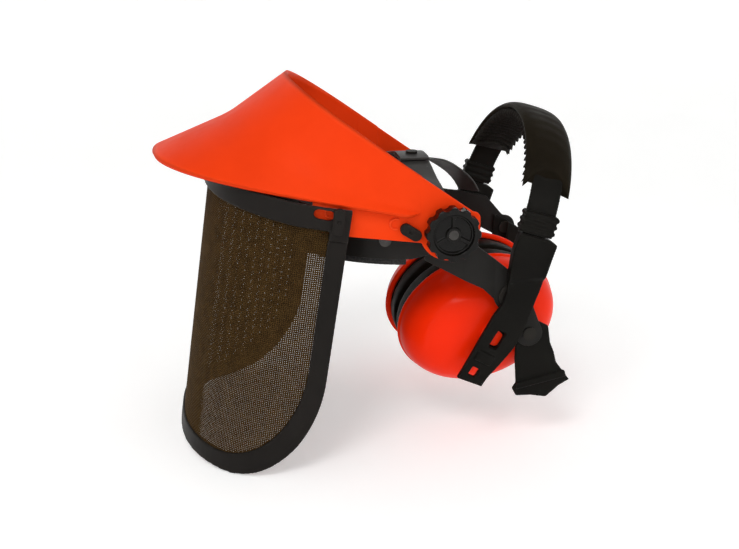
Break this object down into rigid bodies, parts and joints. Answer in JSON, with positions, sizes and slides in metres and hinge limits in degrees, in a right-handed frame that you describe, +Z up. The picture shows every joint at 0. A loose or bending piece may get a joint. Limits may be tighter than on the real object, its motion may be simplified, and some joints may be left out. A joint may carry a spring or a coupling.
{
  "type": "brow guard with mesh visor and ear muffs",
  "caption": "Peaked brow guard with a curved wire-mesh face visor and oval ear muffs on an adjustable head harness, held by side knobs.",
  "frame": {"origin": "middle of the head opening, on the axis of the two side bolts that the brow guard tilts about", "axes": "+Z up, -Y towards the wearer's front, +X towards the wearer's left"},
  "size_m": [0.1968, 0.2766, 0.2469],
  "materials": {
    "guard_orange": "satin",
    "cup_orange": "glossy",
    "black_plastic": "satin",
    "strap_plastic": "satin",
    "knob_plastic": "glossy",
    "wire_mesh": "matte black wire weave",
    "steel": "zinc plated",
    "vinyl": "soft vinyl",
    "soft_pad": "foam",
    "cushion_vinyl": "soft vinyl",
    "foam": "open foam",
    "rubber": "matte"
  },
  "bodies": {
    "harness": {"front_headband": "strap_plastic", "sweatband": "soft_pad", "headband_stud_left": "steel", "headband_stud_right": "steel", "crown_strap_left": "strap_plastic", "crown_strap_right": "strap_plastic", "crown_stud": "knob_plastic", "rear_crown_strap": "strap_plastic", "temple_strap_left": "strap_plastic", "temple_strap_right": "strap_plastic", "nape_rivet_left": "black_plastic", "nape_rivet_right": "black_plastic", "pivot_bolt_left": "steel", "pivot_bolt_right": "steel", "friction_washer_left": "rubber", "friction_washer_right": "rubber", "swing_stud_left": "black_plastic", "swing_stud_right": "black_plastic", "swing_washer_left": "rubber", "swing_washer_right": "rubber"},
    "brow_guard": {"brow_guard_shell": "guard_orange", "visor_top_frame": "black_plastic", "visor_mesh": "wire_mesh", "visor_clamp_strip": "black_plastic", "visor_edge_trim": "black_plastic", "visor_rivets": "black_plastic", "spring_washer_left": "steel", "spring_washer_right": "steel"},
    "knob_left": {"knob_left": "knob_plastic", "knob_spider_left": "knob_plastic"},
    "knob_right": {"knob_right": "knob_plastic", "knob_spider_right": "knob_plastic"},
    "visor_latch_left": {"visor_latch_left": "black_plastic"},
    "visor_latch_right": {"visor_latch_right": "black_plastic"},
    "arm_latch_left": {"arm_latch_left": "black_plastic"},
    "arm_latch_right": {"arm_latch_right": "black_plastic"},
    "nape_strap_left": {"nape_strap_left": "strap_plastic"},
    "nape_strap_right": {"nape_strap_right": "strap_plastic"},
    "muff_arm_left": {"muff_arm_left": "black_plastic"},
    "muff_arm_right": {"muff_arm_right": "black_plastic"},
    "muff_band": {"muff_spring_band": "black_plastic", "muff_band_cover": "vinyl", "muff_band_pad": "soft_pad", "band_collar_left": "black_plastic", "band_collar_right": "black_plastic"},
    "cup_left": {"cup_shell_left": "cup_orange", "cup_peg_left": "black_plastic", "cup_back_plate_left": "black_plastic", "cup_cushion_left": "cushion_vinyl", "cup_foam_left": "foam"},
    "cup_right": {"cup_shell_right": "cup_orange", "cup_peg_right": "black_plastic", "cup_back_plate_right": "black_plastic", "cup_cushion_right": "cushion_vinyl", "cup_foam_right": "foam"}
  },
  "joints": [
    {"name": "guard_tilt", "type": "hinge", "parent": "harness", "child": "brow_guard", "pos_m": [0, 0, 0], "axis": [-1, 0, 0], "range_deg": [0, 75]},
    {"name": "knob_left_turn", "type": "hinge", "parent": "brow_guard", "child": "knob_left", "pos_m": [0.094, 0, 0], "axis": [1, 0, 0], "continuous": true},
    {"name": "knob_right_turn", "type": "hinge", "parent": "brow_guard", "child": "knob_right", "pos_m": [-0.094, 0, 0], "axis": [-1, 0, 0], "continuous": true},
    {"name": "visor_latch_left_turn", "type": "hinge", "parent": "brow_guard", "child": "visor_latch_left", "pos_m": [0.094, -0.0692, 0.0103], "axis": [1, 0, 0], "range_deg": [0, 90]},
    {"name": "arm_latch_left_turn", "type": "hinge", "parent": "brow_guard", "child": "arm_latch_left", "pos_m": [0.089, -0.0248, 0.0006], "axis": [1, 0, 0], "range_deg": [0, 90]},
    {"name": "visor_latch_right_turn", "type": "hinge", "parent": "brow_guard", "child": "visor_latch_right", "pos_m": [-0.094, -0.0692, 0.0103], "axis": [-1, 0, 0], "range_deg": [0, 90]},
    {"name": "arm_latch_right_turn", "type": "hinge", "parent": "brow_guard", "child": "arm_latch_right", "pos_m": [-0.089, -0.0248, 0.0006], "axis": [-1, 0, 0], "range_deg": [0, 90]},
    {"name": "muff_swing", "type": "hinge", "parent": "harness", "child": "muff_arm_left", "pos_m": [0.075, 0.0452, -0.0503], "axis": [1, 0, 0], "range_deg": [-18, 14]},
    {"name": "muff_swing_right", "type": "hinge", "parent": "harness", "child": "muff_arm_right", "pos_m": [-0.075, 0.0452, -0.0503], "axis": [1, 0, 0], "range_deg": [-18, 14]},
    {"name": "band_height", "type": "slide", "parent": "muff_arm_left", "child": "muff_band", "axis": [0, 0.3007, 0.9537], "range_m": [0, 0.012]},
    {"name": "cup_left_swivel", "type": "hinge", "parent": "muff_arm_left", "child": "cup_left", "pos_m": [0.065, 0.036, -0.0795], "axis": [1, 0, 0], "range_deg": [-20, 20]},
    {"name": "cup_right_swivel", "type": "hinge", "parent": "muff_arm_right", "child": "cup_right", "pos_m": [-0.065, 0.036, -0.0795], "axis": [1, 0, 0], "range_deg": [-20, 20]},
    {"name": "nape_left_swing", "type": "hinge", "parent": "harness", "child": "nape_strap_left", "pos_m": [0.068, 0.0593, -0.0778], "axis": [1, 0, 0], "range_deg": [0, 40]},
    {"name": "nape_right_swing", "type": "hinge", "parent": "harness", "child": "nape_strap_right", "pos_m": [-0.068, 0.08, -0.044], "axis": [1, 0, 0], "range_deg": [-10, 20]}
  ],
  "couplings": [
    {"joint": "muff_swing_right", "follows": "muff_swing", "ratio": 1}
  ]
}
